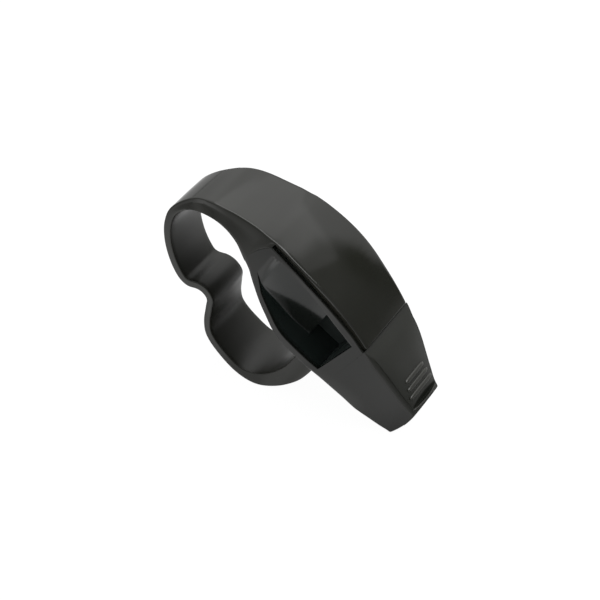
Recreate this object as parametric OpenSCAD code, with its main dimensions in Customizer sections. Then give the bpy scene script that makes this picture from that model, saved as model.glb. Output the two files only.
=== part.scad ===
// Pealess sports whistle with a two-finger loop.
// The band carries the loop, the arm and the top cover in one moulding, and the body is seated in it.
// The side outline lies in X and Z with the mouthpiece along +X, and is then leaned to its stance.

/* [Length] */
// From the body's rear seat back to the rear of the finger loop
grip_l = 25.3; // [22:0.1:30]
// From the seat forward to the front edge of the top cover
cover_l = 40; // [36:0.5:46]
// From the cover's front edge to the tip of the mouthpiece
mouth_l = 22; // [18:0.5:28]

/* [Height] */
// Top of the cover above the middle line of the mouthpiece
crown_h = 20.6; // [19:0.1:24]
// Bottom of the finger loop below the middle line
loop_drop = 26.2; // [24:0.1:32]
// Lower end of the seat above the middle line
seat_z = 8.4; // [7.5:0.1:9]
// Underside of the mouthpiece tip below the middle line
belly_h = 5.9; // [5:0.1:7]
// How far the tip's lower edge stands back from its upper edge
tip_rake = 1.4; // [0.5:0.1:2]
// Top of the mouthpiece tip above the middle line
tip_top = 5.2; // [4.5:0.1:6]
// How far the cover stands proud of the mouthpiece at its front edge
cover_step = 0.4; // [0.2:0.1:0.6]

/* [Width] */
// Width of the body at its widest
body_w = 30.2; // [28:0.2:34]
// Width of the body and the arm at the seat
seat_w = 27.4; // [26:0.2:29]
// Width of the body at the cover's front edge
front_w = 28.2; // [27:0.2:30]
// Width of the mouthpiece at its tip
tip_w = 16.8; // [15.6:0.2:19]
// Width of the finger loop
loop_w = 16.8; // [15:0.2:19]
// Width of the band where its foot meets the body
foot_w = 21; // [19:0.2:24]

/* [Band] */
// Thickness of the finger loop
band_t = 2.3; // [2:0.1:3]
// Thickness of the band at its foot
foot_t = 5.9; // [5:0.1:6.5]
// Thickness of the cover's lip above the side slot
lip_t = 0.8; // [0.6:0.1:1]
// Depth of the side slot under the lip
slot_d = 1.3; // [1:0.1:1.6]
// How far the lip is set in from the side of the body
lip_inset = 0.3; // [0.2:0.1:0.6]

/* [Walls] */
// Floor of the body
floor_t = 2; // [1.8:0.1:2.4]
// Side walls of the mouthpiece
side_t = 1.6; // [1.4:0.1:2]
// Deck above the side windows
deck_t = 1.8; // [1.6:0.1:2.2]
// Wall between a ramp and its chamber
ramp_t = 1.2; // [1:0.1:1.5]
// Centre divider
divider_t = 1.6; // [1.2:0.1:2]
// Chamber roof
roof_t = 1.4; // [1.2:0.1:1.6]
// Clearance between pieces that are welded together
fit = 0.1; // [0.05:0.01:0.15]

/* [Voicing] */
// Width of each air slot
windway_w = 1.2; // [1:0.1:1.6]
// Half width of the core between the two air slots
core_half = 5.7; // [5.1:0.1:6]
// Length of the core
core_l = 20; // [17:0.5:22]
// Length of each windway block
block_l = 16; // [13:0.5:18]
// Length of the left chamber's tuning plug
left_plug_l = 5; // [3:0.5:7]
// Length of the right chamber's tuning plug
right_plug_l = 9; // [7:0.5:11]

/* [Mouthpiece] */
// Height of the bite ribs
rib_h = 0.5; // [0.3:0.1:0.8]
// Width of the bite ribs
rib_w = 0.9; // [0.7:0.1:1.1]
// Distance between two bite ribs
rib_pitch = 1.95; // [1.8:0.05:2.2]
// Length of the middle bite rib
rib_l = 13; // [11:0.2:14]
// Depth of the groove behind the end lip
groove_depth = 0.5; // [0.3:0.1:0.7]
// Width of the groove behind the end lip
groove_w = 1.5; // [1.2:0.1:1.7]

/* [Hidden] */

// Points on each stretch of a curve
steps = 4;
round_sides = 180;
// Overrun of every cut
cut = 1;
tip_x = cover_l + mouth_l;
front_z_share = 0.667;
front_z = front_z_share * crown_h;

// Height of the side slot between the lip and the deck
slot_h = 1.4;
// Bow of the parting line at the seat
seat_bow = 1.1;
// Bulge of the tip's end face
tip_bulge = 0.6;

// Tongue of the body that plugs into the arm
tongue_l = 5;
tongue_w = 14;
tongue_h = 4;
tongue_rise = 3.6;
// Key on the foot, in a groove of the floor
foot_key_w = 12;
foot_key_shares = [0.25, 0.75];
foot_key_h = 0.9;
// Key under the cover, in a groove of the chamber roof
roof_key_w = 1.6;
roof_key_shares = [0.3, 0.6];
roof_key_h = 0.7;

// Wall behind the chambers
rear_wall_t = 2;
// Thickness of a ramp's sharp edge, which splits the jet
labium_t = 0.4;
// Exponent that flattens the ramp towards its sharp edge
ramp_ease = 2;
// Where the core and the blocks begin to narrow, and what is left of the core's end
core_taper_share = 0.4;
block_taper_share = 0.6;
core_end_share = 0.5;

// Places along the whistle as shares: below 0 of the grip, up to 1 of the cover, then of the mouthpiece
function along(s) = s < 0 ? s * grip_l : s <= 1 ? s * cover_l : cover_l + (s - 1) * mouth_l;
function mix(a, b, s) = a + (b - a) * s;

// A smooth line through its control points
function at(p, i) = p[max(0, min(len(p) - 1, i))];
function ease(a, b, c, d, t) =
    b + (c - a) * t / 2 + (2 * a - 5 * b + 4 * c - d) * t * t / 2 + (3 * b - a - 3 * c + d) * t * t * t / 2;
function curve(p) = concat(
    [for (i = [0 : len(p) - 2], k = [0 : steps - 1])
        ease(at(p, i - 1), at(p, i), at(p, i + 1), at(p, i + 2), k / steps)],
    [p[len(p) - 1]]);
function reversed(p) = [for (i = [len(p) - 1 : -1 : 0]) p[i]];

// An arc from a to b whose middle stands off to the left by bow
function arc(a, b, bow) =
    let (c = norm(b - a), r = (c * c / 4 + bow * bow) / (2 * bow), u = (b - a) / c, n = [-u[1], u[0]])
    let (o = (a + b) / 2 + n * (bow - r), half = asin(c / (2 * r)))
    [for (k = [-steps : steps]) o + r * (n * cos(half * k / steps) + u * sin(half * k / steps))];

// The stretch of a height line between two places
function stretch(line, x0, x1) =
    concat([[x0, lookup(x0, line)]],
        [for (p = line) if (p[0] > x0 && p[0] < x1) p],
        [[x1, lookup(x1, line)]]);
function shifted(line, d) = [for (p = line) [p[0], p[1] + d]];

// Top of the cover
cover_top_shares = [[-0.22, 0.893], [0, 0.965], [0.15, 1], [0.35, 0.988], [0.55, 0.937], [0.75, 0.835],
    [0.9, 0.743], [1, front_z_share]];
cover_top = curve([for (s = cover_top_shares) [along(s[0]), s[1] * crown_h]]);

// The deck lies under the cover by the lip and a share of the side slot
deck_shares = [[0.05, 0.8], [0.15, 0.95], [0.35, 1], [0.55, 1], [0.75, 0.85], [0.9, 0.6], [1, 0.3]];
deck = curve([for (s = deck_shares) let (x = along(s[0])) [x, lookup(x, cover_top) - lip_t - s[1] * slot_h]]);

// Top of the mouthpiece, as shares of the fall from the cover's front edge to the tip
mouth_top_shares = [[1, 1], [1.19, 0.87], [1.37, 0.69], [1.57, 0.46], [1.76, 0.24], [1.92, 0.06], [2, 0]];
mouth_top = curve([for (s = mouth_top_shares) [along(s[0]), mix(tip_top, front_z - cover_step, s[1])]]);

// Underside of the body: shares of seat_z above the middle line and of belly_h below it
belly_shares = [[0, 1], [0.06, 0.87], [0.12, 0.67], [0.245, 0.29], [0.36, 0], [0.45, -0.31], [0.55, -0.49],
    [0.75, -0.58], [0.9, -0.58], [1, -0.6], [1.2, -0.67], [1.4, -0.82]];
belly = concat(curve([for (s = belly_shares) [along(s[0]), s[1] > 0 ? s[1] * seat_z : s[1] * belly_h]]),
    [[tip_x - tip_rake, -belly_h]]);

// Plan of the arm and the body: half widths
arm_width_shares = [[-1, 0], [-0.85, 0.06], [-0.71, 0.37], [-0.57, 0.57], [-0.4, 0.7], [-0.2, 0.85]];
rear_width_shares = [[0, 0], [0.15, 0.5], [0.3, 0.88], [0.5, 1]];
front_width_shares = [[0.75, 0.8], [0.9, 0.35], [1, 0]];
mouth_width_shares = [[1.2, 0.85], [1.43, 0.62], [1.65, 0.35], [1.88, 0.07], [2, 0]];
body_half = curve(concat(
    [for (s = rear_width_shares) [along(s[0]), mix(seat_w, body_w, s[1]) / 2]],
    [for (s = front_width_shares) [along(s[0]), mix(front_w, body_w, s[1]) / 2]],
    [for (s = mouth_width_shares) [along(s[0]), mix(tip_w, front_w, s[1]) / 2]]));
body_plan = concat(body_half, [[tip_x + cut, tip_w / 2]]);
arm_half = curve(concat(
    [for (s = arm_width_shares) [along(s[0]), mix(loop_w, seat_w, s[1]) / 2]],
    [for (s = rear_width_shares) [along(s[0]), mix(seat_w, body_w, s[1]) / 2]]));
loop_width_shares = [[-1, 0], [-0.3, 0], [0, 0.1], [0.12, 0.45], [0.3, 0.7], [0.6, 0.95], [0.9, 1]];
loop_half = curve([for (s = loop_width_shares) [along(s[0]), mix(loop_w, foot_w, s[1]) / 2]]);

// The finger opening from the seat over the top, down the rear, round the waist and up to the foot.
// Heights are shares of crown_h above the middle line and of loop_drop below it; last is the share of foot_t.
opening_shares = [[-0.107, 0.461, 0], [-0.213, 0.51, 0], [-0.368, 0.534, 0], [-0.54, 0.49, 0],
    [-0.696, 0.374, 0], [-0.814, 0.214, 0], [-0.885, 0.015, 0.05], [-0.858, -0.149, 0.02], [-0.75, -0.313, 0],
    [-0.585, -0.454, 0], [-0.415, -0.542, 0], [-0.328, -0.55, 0], [-0.217, -0.49, 0], [-0.1, -0.475, 0],
    [0.01, -0.519, 0], [0.05, -0.622, 0], [0.1, -0.763, 0], [0.1625, -0.85, 0], [0.285, -0.9, 0],
    [0.4475, -0.912, 0.03], [0.56, -0.828, 0.35], [0.635, -0.676, 0.6], [0.68, -0.48, 0.85],
    [0.687, -0.313, 1]];
foot_inner_share = 0.683;
foot_inner_x = along(foot_inner_share);
opening_turns = concat([[0, seat_z, 0]],
    [for (s = opening_shares)
        [along(s[0]), s[1] > 0 ? s[1] * crown_h : s[1] * loop_drop, mix(band_t, foot_t, s[2])]],
    [[foot_inner_x, lookup(foot_inner_x, belly) - fit, foot_t]]);
opening = curve([for (p = opening_turns) [p[0], p[1]]]);
function outward(p, i) = let (d = at(p, i + 1) - at(p, i - 1)) [d[1], -d[0]] / norm([d[0], d[1]]);

// The outer side of the band: over the arm, then one thickness outside the later turns of the opening
arm_top_shares = [[-0.22, 0.893], [-0.47, 0.786], [-0.7, 0.628], [-0.88, 0.37]];
followed_from = 7;
loop_outer = curve(concat(
    [for (s = arm_top_shares) [along(s[0]), s[1] * crown_h]],
    [for (i = [followed_from : len(opening_turns) - 1])
        let (p = opening_turns[i], n = outward(opening_turns, i)) [p[0] + p[2] * n[0], p[1] + p[2] * n[1]]]));
foot_outer_x = loop_outer[len(loop_outer) - 1][0];
foot_end = reversed(shifted(stretch(belly, foot_inner_x, foot_outer_x), -fit));

// The parting line between the arm and the body, from its lower end up
seat_top_share = 0.08;
seat_top_x = along(seat_top_share);
seat_line = arc([0, seat_z], [seat_top_x, lookup(seat_top_x, deck)], seat_bow);

// The side window: floor, front edge and roof
window_shares = [0.135, 0.225, 0.855, 0.912];
labium_share = 0.65;
apex_x = along(window_shares[0]);
apex_rise = 3;
window_foot_x = along(window_shares[1]);
edge_low_x = along(window_shares[2]);
edge_high_x = along(window_shares[3]);
labium_x = along(labium_share);
labium_half = core_half + windway_w / 2;
floor_line = shifted(belly, floor_t);
window_roof = shifted(deck, -deck_t);
tunnel_roof = concat(stretch(window_roof, apex_x, cover_l - fit),
    shifted(stretch(mouth_top, cover_l, tip_x), -deck_t));

// Plan of a ramp and of the chamber behind it
function ramp_share(x) = 1 - pow(1 - max(0, x - apex_x) / (labium_x - apex_x), ramp_ease);
function ramp_half(x) = mix(lookup(apex_x, body_half), labium_half, ramp_share(x));
function chamber_half(x) = x < labium_x
    ? mix(lookup(apex_x, body_half) - ramp_t, labium_half - labium_t, ramp_share(x))
    : labium_half - labium_t;
ramp_steps = 10;
ramp_places = [for (k = [0 : ramp_steps]) mix(apex_x, labium_x, k / ramp_steps)];
chamber_start_share = 0.8;
chamber_x = rear_wall_t + seat_top_x * chamber_start_share;

// Bite ribs and the groove on the mouthpiece
rib_mid_share = 1.735;
rib_mid_x = along(rib_mid_share);
rib_taper = 0.1;
rib_count = 3;
groove_share = 1.91;
groove_x = along(groove_share);
groove_l_share = 0.86;
groove_l = tip_w * groove_l_share;

// The whistle stands on its loop and on the tip: lean it until both touch, then centre it over the origin
tip_end = arc([tip_x, tip_top], [tip_x - tip_rake, -belly_h], tip_bulge);
stand_tilt = max([for (p = loop_outer) min([for (q = tip_end) atan2(q[1] - p[1], q[0] - p[0])])]);
function leaned(p) =
    [p[0] * cos(stand_tilt) + p[1] * sin(stand_tilt), p[1] * cos(stand_tilt) - p[0] * sin(stand_tilt)];
stance = [for (p = concat(loop_outer, cover_top, mouth_top, tip_end)) leaned(p)];
stance_x = [for (p = stance) p[0]];
stance_z = [for (p = stance) p[1]];
module stand() {
    translate([-(min(stance_x) + max(stance_x)) / 2, 0, -min(stance_z)])
        rotate([0, stand_tilt, 0]) children();
}

// A side outline carried across, and a plan carried up
module across(points, w) {
    rotate([90, 0, 0]) translate([0, 0, -w / 2]) linear_extrude(w) polygon(points);
}
module upright(points, z0, z1) {
    translate([0, 0, z0]) linear_extrude(z1 - z0) polygon(points);
}
module both_sides() {
    children();
    mirror([0, 1, 0]) children();
}
function without_ends(p) = [for (i = [1 : len(p) - 2]) p[i]];
function from_second(p) = [for (i = [1 : len(p) - 1]) p[i]];
function plan(half, d = 0) =
    concat([for (p = half) [p[0], d - p[1]]], [for (p = reversed(half)) [p[0], p[1] - d]]);
function band_of(low, high) = concat(low, reversed(high));
whole_w = body_w + 2 * cut;

// The body's side outline
body_outline = concat(
    [for (i = [0 : len(seat_line) - 2]) seat_line[i] + [fit, 0]],
    stretch(deck, seat_top_x + fit, cover_l),
    stretch(mouth_top, cover_l, tip_x),
    without_ends(tip_end),
    reversed(from_second(belly)));

// The window's side outline, and the plan of the room that it opens into
window_outline = concat(
    [[apex_x, lookup(apex_x, belly) + apex_rise]],
    stretch(floor_line, window_foot_x, edge_low_x),
    reversed(stretch(window_roof, apex_x, edge_high_x)));
scoop_plan = concat(
    [for (x = ramp_places) [x, ramp_half(x)]],
    [[labium_x, 0], [edge_high_x + cut, 0], [edge_high_x + cut, body_w], [apex_x, body_w]]);
chamber_places = concat([chamber_x], ramp_places, [edge_high_x]);
function chamber_plan(d) = [for (x = chamber_places) [x, chamber_half(x) - d]];

// The room for the pieces in the mouthpiece, drawn in by a clearance and ended at a place
function tunnel_side(x, d) = concat(
    shifted(stretch(floor_line, edge_low_x, x), d),
    reversed(shifted(stretch(tunnel_roof, edge_high_x, x), -d)));
function chamber_side(x0, low, d) = concat(
    shifted(stretch(floor_line, x0, edge_low_x - d), d),
    reversed(shifted(stretch(deck, x0, edge_high_x - d), low)));

module bite_ribs() {
    for (i = [0 : rib_count - 1]) {
        place = i - (rib_count - 1) / 2;
        x = rib_mid_x + place * rib_pitch;
        foot = stretch(mouth_top, x - rib_w / 2, x + rib_w / 2);
        across(band_of(shifted(foot, -rib_h), shifted(foot, rib_h)), rib_l * (1 + place * rib_taper));
    }
}

// Two large cylinders meet in a slim lens, which is sunk into the top
module end_groove() {
    r = (pow(groove_l, 2) + pow(groove_w, 2)) / (4 * groove_w);
    line = stretch(mouth_top, groove_x - groove_w, tip_x);
    intersection() {
        translate([groove_x - r + groove_w / 2, 0, 0]) cylinder(h = crown_h, r = r, $fn = round_sides);
        translate([groove_x + r - groove_w / 2, 0, 0]) cylinder(h = crown_h, r = r, $fn = round_sides);
        across(band_of(shifted(line, -groove_depth), shifted(line, cut)), whole_w);
    }
}

// The seat's tongue, larger by a clearance where it is cut as a pocket
module tongue(d) {
    translate([-tongue_l - d, -tongue_w / 2 - d, seat_z + tongue_rise - d])
        cube([tongue_l + rear_wall_t + d, tongue_w + 2 * d, tongue_h + 2 * d]);
}

// The key on top of the foot, larger by a clearance where it is cut as a groove
module foot_key(d) {
    x0 = mix(foot_inner_x, foot_outer_x, foot_key_shares[0]) - d;
    x1 = mix(foot_inner_x, foot_outer_x, foot_key_shares[1]) + d;
    line = stretch(belly, x0, x1);
    across(band_of(shifted(line, -foot_key_h), shifted(line, foot_key_h + d)), foot_key_w + 2 * d);
}

// The key under the cover, larger by a clearance where it is cut as a groove
module roof_key(d) {
    line = stretch(deck, along(roof_key_shares[0]) - d, along(roof_key_shares[1]) + d);
    across(band_of(shifted(line, -roof_key_h - d), shifted(line, lip_t)), roof_key_w + 2 * d);
}

module grip_band() {
    band_outline = concat(
        reversed(stretch(cover_top, along(cover_top_shares[0][0]), seat_top_x)),
        without_ends(loop_outer),
        foot_end,
        reversed(without_ends(opening)),
        seat_line);
    lip_line = stretch(cover_top, seat_top_x - cut, cover_l - fit);
    color([0.17, 0.17, 0.16]) stand() {
        difference() {
            union() {
                intersection() {
                    across(band_outline, whole_w);
                    union() {
                        upright(plan(arm_half), 0, crown_h + cut);
                        upright(plan(loop_half), -loop_drop - cut, 0);
                    }
                }
                intersection() {
                    across(band_of(shifted(lip_line, -lip_t), lip_line), whole_w);
                    upright(plan(body_half, lip_inset), 0, crown_h + cut);
                }
                intersection() {
                    across(band_of(shifted(stretch(deck, seat_top_x - cut, cover_l - fit), fit),
                        shifted(lip_line, -lip_t / 2)), whole_w);
                    upright(plan(body_half, slot_d), 0, crown_h + cut);
                }
                roof_key(0);
                foot_key(0);
            }
            tongue(fit);
        }
    }
}

module body_shell() {
    color([0.10, 0.11, 0.10]) stand() {
        difference() {
            union() {
                intersection() {
                    across(body_outline, whole_w);
                    upright(plan(body_plan), -belly_h - cut, crown_h + cut);
                }
                bite_ribs();
                tongue(0);
            }
            intersection() {
                across(chamber_side(chamber_x, cut, 0), whole_w);
                upright(plan(chamber_plan(0)), -belly_h - cut, crown_h + cut);
            }
            intersection() {
                across(window_outline, 2 * whole_w);
                both_sides() upright(scoop_plan, -belly_h - cut, crown_h + cut);
            }
            intersection() {
                across(concat(stretch(floor_line, edge_low_x - side_t, tip_x),
                    [[tip_x + cut, floor_t - belly_h], [tip_x + cut, tip_top - deck_t]],
                    reversed(stretch(tunnel_roof, edge_high_x - side_t, tip_x))), whole_w);
                upright(plan(body_plan, side_t), -belly_h - cut, crown_h + cut);
            }
            end_groove();
            foot_key(fit);
        }
    }
}

module chamber_roof() {
    color([0.22, 0.22, 0.21]) stand() {
        difference() {
            intersection() {
                across(band_of(shifted(stretch(deck, chamber_x + fit, edge_high_x - fit), -roof_t),
                    stretch(deck, chamber_x + fit, edge_high_x - fit)), whole_w);
                upright(plan(chamber_plan(fit)), 0, crown_h + cut);
            }
            roof_key(fit);
        }
    }
}

module centre_divider() {
    color([0.26, 0.26, 0.25]) stand()
        across(chamber_side(chamber_x + fit, -roof_t - fit, fit), divider_t);
}

module windway_core() {
    x0 = edge_low_x;
    x1 = x0 + core_l;
    end_half = core_end_share * divider_t / 2;
    wedge = [[x0 - cut, core_half], [mix(x0, x1, core_taper_share), core_half], [x1, end_half]];
    color([0.26, 0.26, 0.25]) stand() {
        intersection() {
            across(tunnel_side(x1, fit), whole_w);
            upright(plan(wedge), -belly_h, crown_h);
        }
    }
}

// The outer wall of one air slot, on the left
module windway_block() {
    x0 = edge_low_x;
    x1 = x0 + block_l;
    inner_half = core_half + windway_w;
    wall = stretch(body_half, x0 - cut, x1);
    intersection() {
        across(tunnel_side(x1, fit), whole_w);
        upright(concat([[x0 - cut, inner_half], [mix(x0, x1, block_taper_share), inner_half]],
            reversed(shifted(wall, -side_t - fit))), -belly_h, crown_h);
    }
}
module left_windway_block() {
    color([0.2, 0.2, 0.19]) stand() windway_block();
}
module right_windway_block() {
    color([0.2, 0.2, 0.19]) stand() mirror([0, 1, 0]) windway_block();
}

// The rear end of one chamber, on the left
module tuning_plug(l) {
    x0 = chamber_x + fit;
    x1 = x0 + l;
    side = concat(shifted(stretch(floor_line, x0, x1), fit),
        reversed(shifted(stretch(deck, x0, x1), -roof_t - fit)));
    wall = concat([[x0, chamber_half(x0)]],
        [for (x = ramp_places) if (x > x0 && x < x1) [x, chamber_half(x)]],
        [[x1, chamber_half(x1)]]);
    intersection() {
        across(side, whole_w);
        upright(concat([[x0, divider_t / 2 + fit], [x1, divider_t / 2 + fit]], reversed(shifted(wall, -fit))),
            -belly_h, crown_h);
    }
}
module left_tuning_plug() {
    color([0.3, 0.3, 0.29]) stand() tuning_plug(left_plug_l);
}
module right_tuning_plug() {
    color([0.3, 0.3, 0.29]) stand() mirror([0, 1, 0]) tuning_plug(right_plug_l);
}

grip_band();
body_shell();
chamber_roof();
centre_divider();
windway_core();
left_windway_block();
right_windway_block();
left_tuning_plug();
right_tuning_plug();
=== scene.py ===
"""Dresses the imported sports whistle: its two mouldings with their real edges, and a finish for every piece.

The side outlines are those of the part's source. They are in millimetres, in X and Z with the mouthpiece
along X, and stand() leans them to the row frame and turns them into metres.
"""
import math
import bpy
import bmesh
import numpy as np
from mathutils import Matrix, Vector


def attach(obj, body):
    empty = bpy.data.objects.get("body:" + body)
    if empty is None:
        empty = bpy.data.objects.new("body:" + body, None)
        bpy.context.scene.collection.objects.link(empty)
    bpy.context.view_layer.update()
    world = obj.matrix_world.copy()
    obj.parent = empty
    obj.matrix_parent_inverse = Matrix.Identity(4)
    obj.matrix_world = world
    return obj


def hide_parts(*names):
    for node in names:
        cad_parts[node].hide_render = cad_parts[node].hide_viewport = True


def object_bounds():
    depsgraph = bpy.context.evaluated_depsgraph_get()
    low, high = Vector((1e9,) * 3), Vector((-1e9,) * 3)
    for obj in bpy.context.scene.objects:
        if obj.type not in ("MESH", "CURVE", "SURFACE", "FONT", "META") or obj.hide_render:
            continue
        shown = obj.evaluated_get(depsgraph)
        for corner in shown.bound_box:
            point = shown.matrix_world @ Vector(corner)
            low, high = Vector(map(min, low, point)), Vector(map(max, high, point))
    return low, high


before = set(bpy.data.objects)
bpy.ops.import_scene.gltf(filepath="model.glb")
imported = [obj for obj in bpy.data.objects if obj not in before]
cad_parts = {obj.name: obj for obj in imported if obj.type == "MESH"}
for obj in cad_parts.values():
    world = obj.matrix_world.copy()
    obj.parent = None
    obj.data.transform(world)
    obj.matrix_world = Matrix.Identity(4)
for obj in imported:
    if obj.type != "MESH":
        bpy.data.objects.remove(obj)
cad_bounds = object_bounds()

# Sizes of the part's source, in millimetres
GRIP_L, COVER_L, MOUTH_L = 25.3, 40.0, 22.0
CROWN_H, LOOP_DROP, SEAT_Z, BELLY_H = 20.6, 26.2, 8.4, 5.9
TIP_RAKE, TIP_TOP, TIP_BULGE, COVER_STEP = 1.4, 5.2, 0.6, 0.4
BODY_W, SEAT_W, FRONT_W, TIP_W, LOOP_W, FOOT_W = 30.2, 27.4, 28.2, 16.8, 16.8, 21.0
BAND_T, FOOT_T, LIP_T, SLOT_D, SLOT_H, LIP_INSET = 2.3, 5.9, 0.8, 1.3, 1.4, 0.3
FLOOR_T, SIDE_T, DECK_T, RAMP_T, LABIUM_T, REAR_WALL_T = 2.0, 1.6, 1.8, 1.2, 0.4, 2.0
CORE_HALF, WINDWAY_W, SEAT_BOW, FIT = 5.7, 1.2, 1.1, 0.1
TIP_X = COVER_L + MOUTH_L
MM = 0.001


def along(s):
    """Places along the whistle as shares: below 0 of the grip, to 1 of the cover, then of the mouthpiece."""
    return s * GRIP_L if s < 0 else s * COVER_L if s <= 1 else COVER_L + (s - 1) * MOUTH_L


def mix(a, b, share):
    return a + (b - a) * share


def smooth(low, high, value):
    """0 up to low, 1 from high on, and an even slope between them."""
    t = np.clip((value - low) / (high - low), 0, 1)
    return t * t * (3 - 2 * t)


def rounding(steps, start=0, end=90):
    """Sine, cosine and share of edge at each step of a rounding that turns between two angles."""
    for k in range(steps + 1):
        t = math.radians(mix(start, end, k / steps))
        yield math.sin(t), math.cos(t), math.sin(2 * t)


def curve(points, steps=16):
    """The smooth line through its control points that the source draws, with more points on each stretch."""
    p = np.array(points, float)
    n = len(p) - 1
    out = []
    for i in range(n):
        a, b, c, d = p[max(i - 1, 0)], p[i], p[i + 1], p[min(i + 2, n)]
        for k in range(steps):
            t = k / steps
            out.append(b + (c - a) * t / 2 + (2 * a - 5 * b + 4 * c - d) * t * t / 2
                       + (3 * b - a - 3 * c + d) * t ** 3 / 2)
    return np.array(out + [p[n]])


def arc(a, b, bow, steps=4):
    """An arc from a to b whose middle stands off to the left by bow."""
    a, b = np.array(a, float), np.array(b, float)
    c = np.linalg.norm(b - a)
    r = (c * c / 4 + bow * bow) / (2 * bow)
    u = (b - a) / c
    n = np.array([-u[1], u[0]])
    o = (a + b) / 2 + n * (bow - r)
    half = math.asin(c / (2 * r))
    turns = [half * k / steps for k in range(-steps, steps + 1)]
    return np.array([o + r * (n * math.cos(t) + u * math.sin(t)) for t in turns])


def height(line, x):
    return np.interp(x, line[:, 0], line[:, 1])


# The outlines, as shares of the sizes above
COVER_TOP = [(-0.22, 0.893), (0, 0.965), (0.15, 1), (0.35, 0.988), (0.55, 0.937), (0.75, 0.835),
             (0.9, 0.743), (1, 0.667)]
DECK = [(0.05, 0.8), (0.15, 0.95), (0.35, 1), (0.55, 1), (0.75, 0.85), (0.9, 0.6), (1, 0.3)]
MOUTH_TOP = [(1, 1), (1.19, 0.87), (1.37, 0.69), (1.57, 0.46), (1.76, 0.24), (1.92, 0.06), (2, 0)]
BELLY = [(0, 1), (0.06, 0.87), (0.12, 0.67), (0.245, 0.29), (0.36, 0), (0.45, -0.31), (0.55, -0.49),
         (0.75, -0.58), (0.9, -0.58), (1, -0.6), (1.2, -0.67), (1.4, -0.82)]
ARM_WIDTH = [(-1, 0), (-0.85, 0.06), (-0.71, 0.37), (-0.57, 0.57), (-0.4, 0.7), (-0.2, 0.85)]
REAR_WIDTH = [(0, 0), (0.15, 0.5), (0.3, 0.88), (0.5, 1)]
FRONT_WIDTH = [(0.75, 0.8), (0.9, 0.35), (1, 0)]
MOUTH_WIDTH = [(1.2, 0.85), (1.43, 0.62), (1.65, 0.35), (1.88, 0.07), (2, 0)]
LOOP_WIDTH = [(-1, 0), (-0.3, 0), (0, 0.1), (0.12, 0.45), (0.3, 0.7), (0.6, 0.95), (0.9, 1)]
OPENING = [(-0.107, 0.461, 0), (-0.213, 0.51, 0), (-0.368, 0.534, 0), (-0.54, 0.49, 0), (-0.696, 0.374, 0),
           (-0.814, 0.214, 0), (-0.885, 0.015, 0.05), (-0.858, -0.149, 0.02), (-0.75, -0.313, 0),
           (-0.585, -0.454, 0), (-0.415, -0.542, 0), (-0.328, -0.55, 0), (-0.217, -0.49, 0),
           (-0.1, -0.475, 0), (0.01, -0.519, 0), (0.05, -0.622, 0), (0.1, -0.763, 0), (0.1625, -0.85, 0),
           (0.285, -0.9, 0), (0.4475, -0.912, 0.03), (0.56, -0.828, 0.35), (0.635, -0.676, 0.6),
           (0.68, -0.48, 0.85), (0.687, -0.313, 1)]
ARM_TOP = [(-0.22, 0.893), (-0.47, 0.786), (-0.7, 0.628), (-0.88, 0.37)]
FOLLOWED_FROM = 7
FOOT_INNER = 0.683
CURVE_STEPS = 16  # points on each stretch of a line
FRONT_Z = COVER_TOP[-1][1] * CROWN_H


def widths(shares, narrow, wide):
    return [(along(s), mix(narrow, wide, t) / 2) for s, t in shares]


def outlines(steps):
    """Every line of the side view and of the plan, with that many points on each stretch."""
    o = {"cover_top": curve([(along(s), t * CROWN_H) for s, t in COVER_TOP], steps)}
    deck = [(along(s), height(o["cover_top"], along(s)) - LIP_T - t * SLOT_H) for s, t in DECK]
    o["deck"] = curve(deck, steps)
    o["mouth_top"] = curve([(along(s), mix(TIP_TOP, FRONT_Z - COVER_STEP, t)) for s, t in MOUTH_TOP], steps)
    belly = curve([(along(s), t * (SEAT_Z if t > 0 else BELLY_H)) for s, t in BELLY], steps)
    o["belly"] = np.vstack([belly, [TIP_X - TIP_RAKE, -BELLY_H]])
    rear = widths(REAR_WIDTH, SEAT_W, BODY_W)
    front = widths(FRONT_WIDTH, FRONT_W, BODY_W) + widths(MOUTH_WIDTH, TIP_W, FRONT_W)
    o["body_half"] = curve(rear + front, steps)
    o["arm_half"] = curve(widths(ARM_WIDTH, LOOP_W, SEAT_W) + rear, steps)
    o["loop_half"] = curve(widths(LOOP_WIDTH, LOOP_W, FOOT_W), steps)
    inner_x = along(FOOT_INNER)
    turns = [(along(s), t * (CROWN_H if t > 0 else LOOP_DROP), mix(BAND_T, FOOT_T, u)) for s, t, u in OPENING]
    turns = np.array([(0, SEAT_Z, 0), *turns, (inner_x, height(o["belly"], inner_x) - FIT, FOOT_T)])
    outer = [(along(s), t * CROWN_H) for s, t in ARM_TOP]
    for i in range(FOLLOWED_FROM, len(turns)):
        d = turns[min(i + 1, len(turns) - 1)] - turns[i - 1]
        n = np.array([d[1], -d[0]]) / math.hypot(d[0], d[1])
        outer.append(turns[i, :2] + turns[i, 2] * n)
    o["opening"] = curve(turns[:, :2], steps)
    o["loop_outer"] = curve(outer, steps)
    return o


LINES = outlines(CURVE_STEPS)


def line_at(name, x):
    return height(LINES[name], x)


def lean(x, z, tilt):
    return x * math.cos(tilt) + z * math.sin(tilt), z * math.cos(tilt) - x * math.sin(tilt)


def stance():
    """The lean at which the loop and the tip both touch the ground, and the move that centres the whistle."""
    o = outlines(4)
    tip = arc((TIP_X, TIP_TOP), (TIP_X - TIP_RAKE, -BELLY_H), TIP_BULGE)
    tilt = max(min(math.atan2(q[1] - p[1], q[0] - p[0]) for q in tip) for p in o["loop_outer"])
    p = np.vstack([o["loop_outer"], o["cover_top"], o["mouth_top"], tip])
    x, z = lean(p[:, 0], p[:, 1], tilt)
    return tilt, -(x.min() + x.max()) / 2, -z.min()


TILT, SHIFT_X, SHIFT_Z = stance()


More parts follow.
